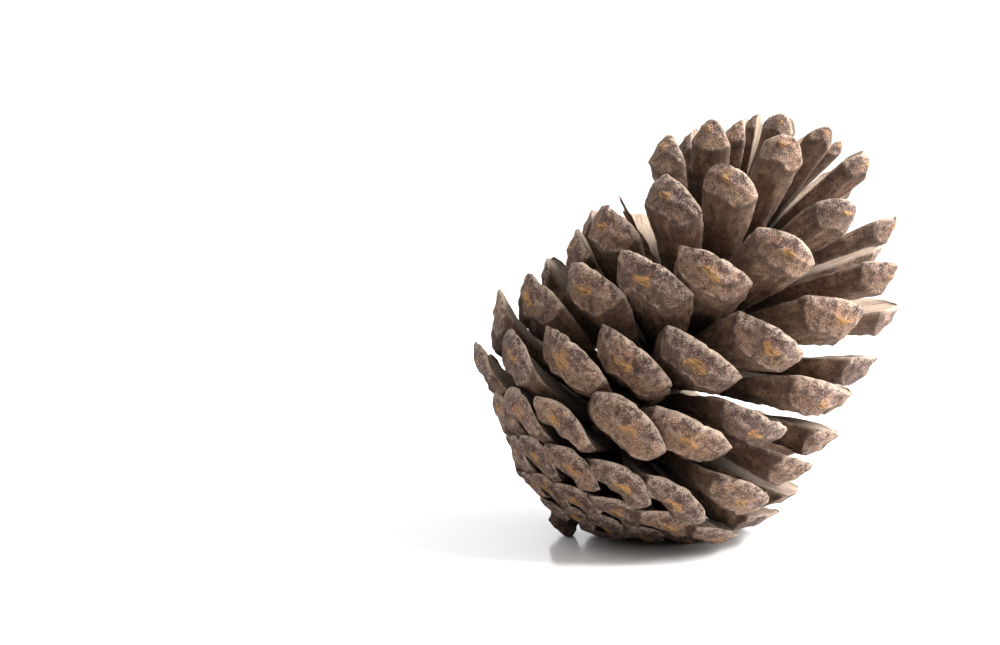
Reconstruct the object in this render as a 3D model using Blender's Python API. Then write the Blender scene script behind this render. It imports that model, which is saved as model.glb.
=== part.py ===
"""A dry, open pine cone lying on its basal scales and its stalk stub.

Woody scales stand on a bent central axis in a golden-angle spiral.  The big open
scales are each their own object; the axis, the stalk, the small basal scales and
the apical tuft have grown into one body.  Metres, +Z up.
"""
import math

import bpy
import numpy as np

MM = 0.001

# How the cone lies: lean of its axis from vertical, heading of the lean, spin about itself.
LEAN, HEADING, SPIN = math.radians(38.6), math.radians(-6.4), math.radians(0.0)
FLOOR_TRIM = 0.55  # how much of the lowest points is worn flat where the cone rests

# The spiral, in degrees: one scale to the next, and where scale 0 faces.
DIVERGENCE, FACING = 137.54, -2.9
FIRST_BASAL, FIRST_OPEN, LAST_OPEN, LAST_APICAL = -55, -3, 55, 67
BROKEN = 36  # this scale has snapped off and left a splinter

# One row per station up the spiral, in mm:
# scale, umbo reach, umbo height, root height, half width, depth at the keel
STATIONS = np.array([
    (-55, 7.4, -0.9, 1.2, 2.5, 1.5),
    (-45, 10.0, 0.9, 2.7, 3.0, 1.7),
    (-35, 13.0, 3.0, 4.4, 3.6, 2.0),
    (-26, 16.1, 5.3, 6.1, 4.2, 2.3),
    (-18, 18.9, 7.6, 7.9, 4.7, 2.6),
    (-9, 21.8, 9.9, 10.0, 5.1, 2.8),
    (0, 23.4, 13.7, 12.7, 5.8, 3.1),
    (9, 23.1, 18.4, 16.2, 6.0, 3.2),
    (18, 22.4, 24.4, 20.0, 5.9, 3.2),
    (27, 22.3, 30.7, 24.0, 5.6, 3.1),
    (36, 21.8, 38.6, 28.2, 5.2, 3.0),
    (45, 19.0, 46.4, 32.6, 4.5, 2.7),
    (54, 14.4, 54.2, 37.2, 3.5, 2.3),
    (60, 10.2, 57.6, 41.0, 2.6, 1.9),
    (67, 4.6, 58.6, 45.0, 1.5, 1.2),
])

AXIS_ROWS = ((0.5, 3.0), (4.0, 3.7), (14.0, 3.6), (30.0, 3.1), (42.0, 2.2), (47.0, 1.1))
AXIS_BEND = -3.6  # sideways shift of the axis at BEND_AT, growing with the square of height
BEND_AT = 40.5
LESS_FRONT = 0.06  # the scales over the front are this much shorter
# How each ring of scales opens and tips, by scale number:
# further out on the right, up on the right, up at the front.
RINGS = np.array([
    (-45, -0.03, 0.04, 0.00),
    (-20, -0.03, 0.05, 0.02),
    (0, 0.00, 0.03, 0.085),
    (19, 0.03, 0.10, 0.10),
    (32, 0.05, 0.16, 0.10),
    (45, 0.13, 0.20, 0.10),
    (60, 0.15, 0.20, 0.13),
])
# Crooked scales: extra turn in degrees, extra reach and extra height in mm.
CROOKED = {
    -11: (0, 0.5, -0.8), -10: (0, 0, -0.6), -7: (0, 0, -0.4), -5: (0, 0, -0.8), -2: (0, -0.9, 0.6),
    0: (0.3, 0, 1.2), 3: (0, 0.4, 0.1), 5: (1.5, 0, 0.5), 10: (0, 0, 1.1), 11: (0, 0, 1.2),
    15: (0, -1.4, 1.0), 18: (0, 0, 1.8), 20: (0, 0, 0.6), 21: (0.5, 0, -0.6), 23: (0, -1.4, 1.5),
    24: (0, 0, 1.6), 26: (0.5, 0, 1.6), 27: (0, 0.6, -0.8), 28: (0, -0.6, 1.0), 31: (0, 0, 0.4),
    39: (-2, 0, 1.4), 41: (-6, -1.6, -0.4), 42: (1.5, 0, -0.3), 44: (-1.5, 0, 2.2), 47: (-4, 0, -0.4),
    49: (0, -0.8, 0.6), 52: (-13, 0, 0), 53: (0, 0, -1.0), 54: (-9, 0, 1.0), 55: (-8.5, 0, 0),
    57: (0, -1.6, -1.4), 58: (0, -0.6, 1.0), 60: (8, 0, -0.4), 61: (0, -0.6, 0.8), 62: (0, 0, -1.0),
    63: (0, 0.6, 0.6), 65: (0, 0, -0.8),
}

# How a scale bends, by scale number, in mm: its tip curls up, and its corners stand up or droop.
BENDS = np.array([
    (-55, 1.0, -0.5), (-35, 1.5, -0.9), (-13, 1.9, -1.2), (0, 1.2, -0.8), (6, 0.8, -0.2), (13, 0.4, 0.2),
    (30, 0.0, 0.35),
])
CURL_FROM = 0.55  # share of the length where the curl starts
UMBO_CURL = 0.71  # how much of the curl is reached at the umbo

ROOT_GAP = 0.45  # clearance between the axis and the root of a separate scale
OVERHANG = 0.27  # tip beyond the umbo, in half widths
UMBO_DEPTH = 0.58  # how deep the umbo sits on the end face, as a share of the depth
EDGE = 0.5  # thickness of the rim of a scale
CAP_SLOPE = 0.85  # the end face falls this much per mm towards the tip
WIDEST = 0.875  # where along its length a scale has its corners
ARCH = (1.15, 0.52)  # powers of the arch between the corners


def axis_centre(height):
    """The middle of the axis at a height, in mm."""
    return np.array([AXIS_BEND * (height / BEND_AT) ** 2, 0.0, height])


def axis_radius(height):
    heights, radii = zip(*AXIS_ROWS)
    return float(np.interp(height, heights, radii))


def station(n):
    """Umbo reach and height, root height, half width and keel depth of scale n."""
    return [float(np.interp(n, STATIONS[:, 0], STATIONS[:, k])) for k in range(1, 6)]


def bend(n):
    """How far the tip of scale n curls up, and how far its corners stand up."""
    return [float(np.interp(n, BENDS[:, 0], BENDS[:, k])) for k in (1, 2)]


def vary(n, salt, amount):
    """A small repeatable difference from one scale to the next."""
    return amount * math.sin(n * (2.39 + salt) + 1.7 * salt)


def scale_layout(n, root_gap):
    """Where scale n sits and how big it is: root, frame (along, across, up) and sizes."""
    reach, height, root_height, half, depth = station(n)
    extra_turn, extra_reach, extra_height = CROOKED.get(n, (0, 0, 0))
    turn = math.radians(FACING + DIVERGENCE * n + extra_turn)
    out = np.array([math.sin(turn), -math.cos(turn), 0.0])
    across = np.array([math.cos(turn), math.sin(turn), 0.0])
    opens, right_up, front_up = [float(np.interp(n, RINGS[:, 0], RINGS[:, k])) for k in (1, 2, 3)]
    reach *= 1.0 - LESS_FRONT * max(0.0, math.cos(turn)) + opens * math.sin(turn)
    reach += extra_reach
    height += reach * (right_up * math.sin(turn) + front_up * math.cos(turn)) + extra_height
    half *= 1.0 + vary(n, 0.31, 0.03)
    across[2] = right_up * math.cos(turn) - front_up * math.sin(turn)
    umbo = axis_centre(height) + reach * out
    root = axis_centre(root_height) + (axis_radius(root_height) + root_gap) * out
    chord = umbo - root
    distance = np.linalg.norm(chord)
    chord /= distance
    up = np.cross(chord, across)
    up /= np.linalg.norm(up)
    across = np.cross(up, chord)
    sink = min(0.9, (UMBO_DEPTH * depth - UMBO_CURL * bend(n)[0]) / distance)
    cosine = math.sqrt(1.0 - sink * sink)
    along = cosine * chord + sink * up
    up = cosine * up - sink * chord
    roll = math.radians(vary(n, 0.77, 3.0))
    across, up = (math.cos(roll) * across + math.sin(roll) * up,
                  math.cos(roll) * up - math.sin(roll) * across)
    length = distance * cosine + OVERHANG * half
    return root, np.column_stack([along, across, up]), length, half, depth


def half_width(x, half, root_half):
    """Half width at x, a fraction of the length: narrow root, corners, then a low arch."""
    if x <= WIDEST:
        t = x / WIDEST
        return root_half + (half - root_half) * (1.0 - (1.0 - t) ** 1.7)
    t = (x - WIDEST) / (1.0 - WIDEST)
    return half * (1.0 - t ** ARCH[0]) ** ARCH[1]


def keel_depth(x, depth, root_depth):
    """Thickness along the middle of the back, before the end face cuts it."""
    return root_depth + (depth - root_depth) * math.sin(0.5 * math.pi * min(1.0, x / 0.8)) ** 1.3


def rim_at(across_share):
    """How far along the length the tip edge lies, for a place across the width."""
    share = min(0.999, abs(across_share))
    return WIDEST + (1.0 - WIDEST) * (1.0 - share ** (1.0 / ARCH[1])) ** (1.0 / ARCH[0])


def scale_mesh(n, stations, root_gap, root_half, root_depth):
    """Points and faces of one closed scale, in mm."""
    root, frame, length, half, depth = scale_layout(n, root_gap)
    root_half = min(root_half, 0.7 * half)
    root_depth = min(root_depth, 0.7 * depth)
    edge = min(EDGE, 0.4 * depth)
    tip_curl, corner_up = bend(n)
    rings = []
    for x in stations:
        wide = half_width(x, half, root_half)
        body = keel_depth(x, depth, root_depth)
        curl = tip_curl * (max(0.0, x - CURL_FROM) / (1.0 - CURL_FROM)) ** 2
        ring = []
        for share, is_back in ((-1, 0), (0, 0), (1, 0), (1, 1), (0.62, 1), (0, 1), (-0.62, 1), (-1, 1)):
            u = share * wide
            v = curl + corner_up * (u / half) ** 2
            if is_back:
                thick = edge + (body - edge) * (1.0 - abs(share) ** 2.2)
                face = edge + (rim_at(u / half) - x) * length * CAP_SLOPE
                v -= max(edge * 0.9, min(thick, face))
            ring.append((x * length, u, v))
        rings.append(ring)
    points = np.array(rings).reshape(-1, 3)
    around = len(rings[0])
    faces = []
    for i in range(len(stations) - 1):
        for j in range(around):
            k = (j + 1) % around
            faces.append((i * around + j, (i + 1) * around + j, (i + 1) * around + k, i * around + k))
    last = (len(stations) - 1) * around
    faces.append(tuple(range(around)))
    faces.append(tuple(last + j for j in reversed(range(around))))
    return root + points @ frame.T, faces


def splinter_mesh():
    """What is left of the snapped scale: a thin torn blade, in mm."""
    root, frame, length, _, _ = scale_layout(BROKEN, -0.8)
    points, faces = [], []
    # share of the length, place across, half width, thickness
    for share, side, half, thick in ((0, 0, 1.3, 1.0), (0.28, 0.3, 1.2, 0.9), (0.5, 0.8, 0.9, 0.7),
                                     (0.66, 1.1, 0.5, 0.5), (0.78, 1.0, 0.2, 0.25)):
        points += [(share * length, side - half, 0), (share * length, side + half, 0),
                   (share * length, side + half, -thick), (share * length, side - half, -thick)]
    for i in range(0, len(points) - 4, 4):
        for j in range(4):
            k = (j + 1) % 4
            faces.append((i + j, i + 4 + j, i + 4 + k, i + k))
    faces.append((0, 1, 2, 3))
    faces.append(tuple(len(points) - 1 - j for j in range(4)))
    return root + np.array(points) @ frame.T, faces


def tube_mesh(rows, sides):
    """A closed tube through rows of (centre, radius), in mm."""
    points, faces = [], []
    for i, (centre, radius) in enumerate(rows):
        for j in range(sides):
            turn = 2.0 * math.pi * j / sides
            points.append(np.asarray(centre) + radius * np.array([math.cos(turn), math.sin(turn), 0.0]))
        if i:
            for j in range(sides):
                k = (j + 1) % sides
                faces.append(((i - 1) * sides + j, (i - 1) * sides + k, i * sides + k, i * sides + j))
    faces.append(tuple(reversed(range(sides))))
    faces.append(tuple((len(rows) - 1) * sides + j for j in range(sides)))
    return np.array(points), faces


def rotation():
    """The turn from the cone's own frame to the way it lies."""
    def about_z(a):
        return np.array([[math.cos(a), -math.sin(a), 0], [math.sin(a), math.cos(a), 0], [0, 0, 1]])
    tip = np.array([[math.cos(LEAN), 0, math.sin(LEAN)], [0, 1, 0], [-math.sin(LEAN), 0, math.cos(LEAN)]])
    return about_z(HEADING) @ tip @ about_z(SPIN)


def material(name, colour, roughness):
    made = bpy.data.materials.new(name)
    made.use_nodes = True
    shader = made.node_tree.nodes["Principled BSDF"]
    shader.inputs["Base Color"].default_value = (*colour, 1.0)
    shader.inputs["Roughness"].default_value = roughness
    shader.inputs["Metallic"].default_value = 0.0
    return made


def add_object(name, points, faces, finish=None):
    mesh = bpy.data.meshes.new(name)
    mesh.from_pydata((points * MM).tolist(), [], faces)
    mesh.validate()
    made = bpy.data.objects.new(name, mesh)
    bpy.context.scene.collection.objects.link(made)
    if finish:
        mesh.materials.append(finish)
        for face in mesh.polygons:
            face.use_smooth = False
    return made


def main():
    for old in list(bpy.data.objects):
        bpy.data.objects.remove(old, do_unlink=True)
    full = (0.0, 0.3, 0.58, 0.76, WIDEST, 0.93, 0.97, 0.995)
    small = (0.0, 0.45, 0.74, WIDEST, 0.95, 0.99)
    open_scales = [n for n in range(FIRST_OPEN, LAST_OPEN + 1) if n != BROKEN]
    fused = [n for n in range(FIRST_BASAL, LAST_APICAL + 1) if n < FIRST_OPEN or n > LAST_OPEN]
    separate = {n: scale_mesh(n, full, ROOT_GAP, 1.5, 1.2) for n in open_scales}
    grown = {n: scale_mesh(n, small, -0.8, 1.5, 1.0) for n in fused}
    axis = tube_mesh([(axis_centre(h), r) for h, r in AXIS_ROWS], 12)
    stalk = tube_mesh([((1.5, 0.0, -4.0), 1.8), ((1.4, 0.1, -2.6), 2.2), ((0.6, 0.0, -0.4), 2.2),
                       ((0.0, 0.0, 2.0), 2.4)], 10)

    turn = rotation()
    scales = [*separate.values(), *grown.values()]
    cloud = np.hstack([turn @ points.T for points, _ in scales])
    low, high = cloud.min(axis=1), cloud.max(axis=1)
    shift = np.array([-(low[0] + high[0]) / 2, -(low[1] + high[1]) / 2, -low[2] - FLOOR_TRIM])

    def placed(shape):
        points, faces = shape
        return points @ turn.T + shift, faces

    brown = material("weathered_scale", (0.24, 0.17, 0.13), 0.8)
    dark = material("woody_core", (0.13, 0.085, 0.06), 0.85)
    for place, n in enumerate(open_scales, 1):
        add_object(f"scale_{place:02d}", *placed(separate[n]), brown)
    body = add_object("core", *placed(axis), dark)
    cutters = bpy.data.collections.new("grown_on")
    bpy.context.scene.collection.children.link(cutters)
    for n, shape in [*grown.items(), ("stalk", stalk), ("splinter", splinter_mesh())]:
        helper = add_object(f"grown_{n}", *placed(shape))
        bpy.context.scene.collection.objects.unlink(helper)
        cutters.objects.link(helper)
        helper.hide_render = True
        helper.display_type = "WIRE"
    union = body.modifiers.new("grown_on", "BOOLEAN")
    union.operation = "UNION"
    union.operand_type = "COLLECTION"
    union.collection = cutters
    union.solver = "EXACT"
    floor_box = np.array([[x, y, z] for x in (-60, 60) for y in (-60, 60) for z in (-10, 0)], float)
    quads = [(0, 1, 3, 2), (4, 6, 7, 5), (0, 4, 5, 1), (2, 3, 7, 6), (0, 2, 6, 4), (1, 5, 7, 3)]
    block = add_object("floor_cutter", floor_box, quads)
    block.hide_render = True
    block.display_type = "WIRE"
    trim = body.modifiers.new("worn_flat", "BOOLEAN")
    trim.operation = "DIFFERENCE"
    trim.object = block
    trim.solver = "EXACT"


main()
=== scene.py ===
"""A dry, open pine cone lying on its basal scales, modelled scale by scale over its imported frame.

Every scale is one closed surface worked out on a grid: a narrow root, a broad blade with a pale inner
face, and a thick rhombic end with a cross keel and an orange boss.  The scales stand in a golden-angle
spiral on a bent axis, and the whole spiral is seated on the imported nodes.
"""
from __future__ import annotations

import logging
import math
import sys
from dataclasses import dataclass, field
from enum import Enum, IntEnum

import bpy
import numpy as np
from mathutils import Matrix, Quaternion, Vector


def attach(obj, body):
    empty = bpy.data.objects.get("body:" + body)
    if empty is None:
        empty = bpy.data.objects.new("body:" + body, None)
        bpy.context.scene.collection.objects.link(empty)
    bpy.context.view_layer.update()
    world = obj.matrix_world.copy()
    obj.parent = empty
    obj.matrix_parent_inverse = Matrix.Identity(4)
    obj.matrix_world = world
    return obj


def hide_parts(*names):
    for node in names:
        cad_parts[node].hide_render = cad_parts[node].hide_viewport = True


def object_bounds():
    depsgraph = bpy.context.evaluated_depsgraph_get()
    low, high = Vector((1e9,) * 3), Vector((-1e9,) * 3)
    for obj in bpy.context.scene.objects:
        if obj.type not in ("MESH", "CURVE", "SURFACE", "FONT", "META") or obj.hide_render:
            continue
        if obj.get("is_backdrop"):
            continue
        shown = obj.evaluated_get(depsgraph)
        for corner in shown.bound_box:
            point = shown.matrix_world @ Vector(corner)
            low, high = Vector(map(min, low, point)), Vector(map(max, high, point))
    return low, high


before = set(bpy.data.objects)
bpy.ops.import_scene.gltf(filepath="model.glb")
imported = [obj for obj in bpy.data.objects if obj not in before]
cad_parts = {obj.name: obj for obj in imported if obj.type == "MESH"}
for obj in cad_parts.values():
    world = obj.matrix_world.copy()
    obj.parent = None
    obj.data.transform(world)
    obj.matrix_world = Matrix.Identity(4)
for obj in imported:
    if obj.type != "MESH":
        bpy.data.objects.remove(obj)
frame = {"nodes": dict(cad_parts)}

LOG = logging.getLogger("pine_cone")
MM = 0.001
Array = np.ndarray
Colour = tuple[float, float, float]
Socket = bpy.types.NodeSocket


class Stand(Enum):
    """How a scale stands on the axis: root gap in mm, share of the detail, share of the depth of its end."""

    OPEN = (-0.65, 1.0, 1.12)
    GROWN = (-0.80, 0.62, 0.86)

    @property
    def root_gap(self) -> float:
        """How far the root stands off the axis, in mm; below zero it is sunk in."""
        return self.value[0]

    @property
    def detail(self) -> float:
        """Share of the full number of grid lines."""
        return self.value[1]

    @property
    def thickness(self) -> float:
        """Share of the depth that the seat gives the end."""
        return self.value[2]


class Seed(IntEnum):
    """First seed of each relief of a scale; the scale's own number is added to it."""

    SWELLING = 100
    FOLDS = 200
    SMALL_FOLDS = 220
    LUMPS = 300
    GRAINS = 350
    FIBRES = 400
    PITTING = 420
    INNER_WAVES = 500
    CRACKS = 600
    WORN_SIDES = 900
    RAGGED_TIP = 910
    FINE_RAGGED_TIP = 920
    WHOLE_SCALE = 4000


# ---------------------------------------------------------------------------------------------------
# Small numeric tools
# ---------------------------------------------------------------------------------------------------


def smooth(edge0: float, edge1: float, value: Array) -> Array:
    """Rise from 0 at edge0 to 1 at edge1 along 3t^2 - 2t^3.

    Args:
        edge0: where the rise starts.
        edge1: where it ends.
        value: the numbers to map.
    Returns:
        An array of the same shape, from 0 to 1.
    """
    t = np.clip((value - edge0) / (edge1 - edge0), 0.0, 1.0)
    return t * t * (3.0 - 2.0 * t)


def soft_min(a: Array, b: Array, blend: float) -> Array:
    """The smaller of two surfaces, with the crease between them rounded over a width of blend.

    Args:
        a: first surface.
        b: second surface.
        blend: width of the rounding, in the surfaces' units.
    Returns:
        -blend * log(exp(-a/blend) + exp(-b/blend)), written so that it cannot overflow.
    """
    low = np.minimum(a, b)
    return low - blend * np.log1p(np.exp(-np.abs(a - b) / blend))


def ripple(points: Array, size: float, seed: int, waves: int = 7) -> Array:
    """Smooth irregular relief: a sum of sine waves in seeded directions, divided by the root of their count.

    Args:
        points: (..., 3) positions.
        size: the typical wavelength, in the same unit.
        seed: picks the directions and phases.
        waves: how many sines are added.
    Returns:
        One value per point, mostly between -1 and 1.
    """
    rng = np.random.default_rng(seed)
    aims = rng.normal(size=(waves, 3))
    aims *= (2.0 * math.pi / size) / np.linalg.norm(aims, axis=1, keepdims=True)
    aims *= rng.uniform(0.6, 1.5, size=(waves, 1))
    phases = rng.uniform(0.0, 2.0 * math.pi, size=waves)
    return np.sin(points @ aims.T + phases).sum(axis=-1) / math.sqrt(waves)


def table(rows: Array, number: float) -> Array:
    """Values of every column of a table after the first, read at a place in the first.

    Args:
        rows: rows of (key, value, value, ...), keys rising.
        number: the key to read at.
    Returns:
        The values, each interpolated in a straight line between rows.
    """
    return np.array([np.interp(number, rows[:, 0], rows[:, k]) for k in range(1, rows.shape[1])])


# ---------------------------------------------------------------------------------------------------
# The spiral
# ---------------------------------------------------------------------------------------------------


@dataclass(frozen=True)
class Seat:
    """Where one scale sits: root point, frame columns (along, across, up) and sizes, all in mm."""

    number: int
    root: Array
    frame: Array
    length: float
    half: float
    depth: float
    curl: float
    corner: float


@dataclass
class Spiral:
    """The bent axis and the seats of its scales, in the cone's own frame, then turned to how it lies."""

    lean: float = math.radians(38.6)
    heading: float = math.radians(-6.4)
    divergence: float = 137.54
    facing: float = -2.9
    first_basal: int = -55
    first_open: int = -3
    last_open: int = 55
    last_apical: int = 67
    broken: int = 36
    axis_bend: float = -3.6
    bend_at: float = 40.5
    less_front: float = 0.06
    root_gap: float = 0.45
    overhang: float = 0.27
    umbo_share: float = 0.58
    axis_rows: Array = field(default_factory=lambda: np.array(
        [(0.5, 3.0), (4.0, 3.7), (14.0, 3.6), (30.0, 3.1), (42.0, 2.2), (47.0, 1.1)]))
    # scale number: umbo reach, umbo height, root height, half width, depth of the thick end
    stations: Array = field(default_factory=lambda: np.array([
        (-55, 7.4, -0.9, 1.2, 2.5, 1.5), (-45, 10.0, 0.9, 2.7, 3.0, 1.7), (-35, 13.0, 3.0, 4.4, 3.6, 2.0),
        (-26, 16.1, 5.3, 6.1, 4.2, 2.3), (-18, 18.9, 7.6, 7.9, 4.7, 2.6), (-9, 21.8, 9.9, 10.0, 5.1, 2.8),
        (0, 23.4, 13.7, 12.7, 5.8, 3.1), (9, 23.1, 18.4, 16.2, 6.0, 3.2), (18, 22.4, 24.4, 20.0, 5.9, 3.2),
        (27, 22.3, 30.7, 24.0, 5.6, 3.1), (36, 21.8, 38.6, 28.2, 5.2, 3.0), (45, 19.0, 46.4, 32.6, 4.5, 2.7),
        (54, 14.4, 54.2, 37.2, 3.5, 2.3), (60, 10.2, 57.6, 41.0, 2.6, 1.9), (67, 4.6, 58.6, 45.0, 1.5, 1.2)]))
    # scale number: how far its ring opens to the right, tips up on the right, tips up at the front
    rings: Array = field(default_factory=lambda: np.array([
        (-45, -0.03, 0.04, 0.00), (-20, -0.03, 0.05, 0.02), (0, 0.00, 0.03, 0.085), (19, 0.03, 0.10, 0.10),
        (32, 0.05, 0.16, 0.10), (45, 0.13, 0.20, 0.10), (60, 0.15, 0.20, 0.13)]))
    # scale number: how far its tip curls up, how far its corners stand up, in mm
    bends: Array = field(default_factory=lambda: np.array([
        (-55, 1.0, -0.5), (-35, 1.5, -0.9), (-13, 1.9, -1.2), (0, 1.2, -0.8), (6, 0.8, -0.2), (13, 0.4, 0.2),
        (30, 0.0, 0.35)]))
    curl_from: float = 0.55
    cut_at: float = 0.995
    umbo_curl: float = 0.71
    # crooked scales: extra turn in degrees, extra reach and extra height in mm
    crooked: dict[int, tuple[float, float, float]] = field(default_factory=lambda: {
        -11: (0, 0.5, -0.8), -10: (0, 0, -0.6), -7: (0, 0, -0.4), -5: (0, 0, -0.8), -2: (0, -0.9, 0.6),
        0: (0.3, 0, 1.2), 3: (0, 0.4, 0.1), 5: (1.5, 0, 0.5), 10: (0, 0, 1.1), 11: (0, 0, 1.2),
        15: (0, -1.4, 1.0), 18: (0, 0, 1.8), 20: (0, 0, 0.6), 21: (0.5, 0, -0.6), 23: (0, -1.4, 1.5),
        24: (0, 0, 1.6), 26: (0.5, 0, 1.6), 27: (0, 0.6, -0.8), 28: (0, -0.6, 1.0), 31: (0, 0, 0.4),
        39: (-2, 0, 1.4), 41: (-6, -1.6, -0.4), 42: (1.5, 0, -0.3), 44: (-1.5, 0, 2.2), 47: (-4, 0, -0.4),
        49: (0, -0.8, 0.6), 52: (-13, 0, 0), 53: (0, 0, -1.0), 54: (-9, 0, 1.0), 55: (-8.5, 0, 0),
        57: (0, -1.6, -1.4), 58: (0, -0.6, 1.0), 60: (8, 0, -0.4), 61: (0, -0.6, 0.8), 62: (0, 0, -1.0),
        63: (0, 0.6, 0.6), 65: (0, 0, -0.8)})
    shift: Array = field(default_factory=lambda: np.zeros(3))

    @property
    def open_numbers(self) -> list[int]:
        """Numbers of the open scales, lowest first."""
        return [n for n in range(self.first_open, self.last_open + 1) if n != self.broken]

    @property
    def turn(self) -> Array:
        """The rotation from the cone's own frame to the way it lies: lean about Y, then heading about Z."""
        cl, sl = math.cos(self.lean), math.sin(self.lean)
        ch, sh = math.cos(self.heading), math.sin(self.heading)
        leaning = np.array([[cl, 0, sl], [0, 1, 0], [-sl, 0, cl]])
        return np.array([[ch, -sh, 0], [sh, ch, 0], [0, 0, 1]]) @ leaning

    def axis_centre(self, height: float) -> Array:
        """The middle of the axis at a height: it shifts sideways with the square of the height."""
        return np.array([self.axis_bend * (height / self.bend_at) ** 2, 0.0, height])

    def seat(self, n: int, root_gap: float) -> Seat:
        """Where scale n sits.

        Args:
            n: its number along the spiral.
            root_gap: how far its root stands off the axis, in mm.
        Returns:
            Its seat, in the cone's own frame.
        """
        reach, height, root_height, half, depth = table(self.stations, n)
        opens, right_up, front_up = table(self.rings, n)
        extra_turn, extra_reach, extra_height = self.crooked.get(n, (0, 0, 0))
        turn = math.radians(self.facing + self.divergence * n + extra_turn)
        out = np.array([math.sin(turn), -math.cos(turn), 0.0])
        slant = right_up * math.cos(turn) - front_up * math.sin(turn)
        across = np.array([math.cos(turn), math.sin(turn), slant])
        reach *= 1.0 - self.less_front * max(0.0, math.cos(turn)) + opens * math.sin(turn)
        reach += extra_reach
        height += reach * (right_up * math.sin(turn) + front_up * math.cos(turn)) + extra_height
        half *= 1.0 + 0.03 * math.sin(n * 2.70 + 1.7 * 0.31)
        radius = float(np.interp(root_height, self.axis_rows[:, 0], self.axis_rows[:, 1]))
        root = self.axis_centre(root_height) + (radius + root_gap) * out
        chord = self.axis_centre(height) + reach * out - root
        distance = float(np.linalg.norm(chord))
        chord /= distance
        up = np.cross(chord, across)
        up /= np.linalg.norm(up)
        across = np.cross(up, chord)
        curl, corner = table(self.bends, n)
        sink = min(0.9, (self.umbo_share * depth - self.umbo_curl * curl) / distance)
        cosine = math.sqrt(1.0 - sink * sink)
        along, up = cosine * chord + sink * up, cosine * up - sink * chord
        roll = math.radians(3.0 * math.sin(n * 3.16 + 1.7 * 0.77))
        cosine_roll, sine_roll = math.cos(roll), math.sin(roll)
        across, up = cosine_roll * across + sine_roll * up, cosine_roll * up - sine_roll * across
        length = distance * cosine + self.overhang * half
        return Seat(n, root, np.column_stack([along, across, up]), length, half, depth, curl, corner)

    def settle(self, nodes: dict[str, bpy.types.Object]) -> None:
        """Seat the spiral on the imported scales.

        Each packed scale is cut off at a fixed share of its length from its root, so its furthest corner
        along the scale gives one equation for the shift; all of them are solved by least squares.

        Args:
            nodes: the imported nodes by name.
        """
        aims, gaps = [], []
        for place, n in enumerate(self.open_numbers, 1):
            mesh = nodes[f"scale_{place:02d}"].data
            corners = np.empty(len(mesh.vertices) * 3)
            mesh.vertices.foreach_get("co", corners)
            seat = self.seat(n, self.root_gap)
            along = self.turn @ seat.frame[:, 0]
            reach = (corners.reshape(-1, 3) @ along).max() / MM
            aims.append(along)
            gaps.append(reach - (self.turn @ seat.root) @ along - self.cut_at * seat.length)
        self.shift, *_ = np.linalg.lstsq(np.array(aims), np.array(gaps), rcond=None)
        worst = np.abs(np.array(aims) @ self.shift - np.array(gaps)).max()
        LOG.info("spiral seated on %d packed scales, worst miss %.3f mm", len(gaps), worst)

    def place(self, points: Array) -> Array:
        """Points in the cone's own frame, in mm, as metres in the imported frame, none under the floor."""
        placed = (points @ self.turn.T + self.shift) * MM
        placed[..., 2] = np.maximum(placed[..., 2], 0.0)
        return placed


# ---------------------------------------------------------------------------------------------------
# Meshes
# ---------------------------------------------------------------------------------------------------


@dataclass
class Surface:
    """Points, faces and per-point values of one closed surface."""

    points: Array
    quads: Array
    tris: Array
    values: dict[str, Array]

    @staticmethod
    def joined(parts: list["Surface"]) -> "Surface":
        """Several surfaces as one, each keeping its own points.

        Args:
            parts: the surfaces, all with the same kinds of values.
        Returns:
            The one surface.
        """
        starts = np.cumsum([0] + [len(p.points) for p in parts[:-1]])
        return Surface(
            np.concatenate([p.points for p in parts]),
            np.concatenate([p.quads + s for p, s in zip(parts, starts)]),
            np.concatenate([p.tris + s for p, s in zip(parts, starts)]),
            {k: np.concatenate([p.values[k] for p in parts]) for k in parts[0].values})

    def to_object(self, name: str, finish: bpy.types.Material, rides: str = "root") -> bpy.types.Object:
        """Put the surface into a new object at the origin.

        Args:
            name: the piece's name.
            finish: its material.
            rides: the body that it moves with.
        Returns:
            The new object, smooth shaded, with its values as point attributes.
        """
        mesh = bpy.data.meshes.new(name)
        mesh.vertices.add(len(self.points))
        mesh.vertices.foreach_set("co", np.ascontiguousarray(self.points, np.float32).ravel())
        corners = np.concatenate([self.quads.ravel(), self.tris.ravel()]).astype(np.int32)
        sizes = np.concatenate([np.full(len(self.quads), 4), np.full(len(self.tris), 3)]).astype(np.int32)
        mesh.loops.add(len(corners))
        mesh.loops.foreach_set("vertex_index", corners)
        mesh.polygons.add(len(sizes))
        mesh.polygons.foreach_set("loop_start", np.concatenate([[0], np.cumsum(sizes)[:-1]]).astype(np.int32))
        mesh.polygons.foreach_set("use_smooth", np.ones(len(sizes), bool))
        for key, value in self.values.items():
            kind = "FLOAT_VECTOR" if value.shape[1] == 3 else "FLOAT_COLOR"
            layer = mesh.attributes.new(key, kind, "POINT")
            layer.data.foreach_set("vector" if kind == "FLOAT_VECTOR" else "color",
                                   np.ascontiguousarray(value, np.float32).ravel())
        mesh.update(calc_edges=True)
        mesh.validate()
        mesh.materials.append(finish)
        made = bpy.data.objects.new(name, mesh)
        bpy.context.scene.collection.objects.link(made)
        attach(made, rides)
        LOG.info("%s: %d faces", name, len(sizes))
        return made


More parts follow.
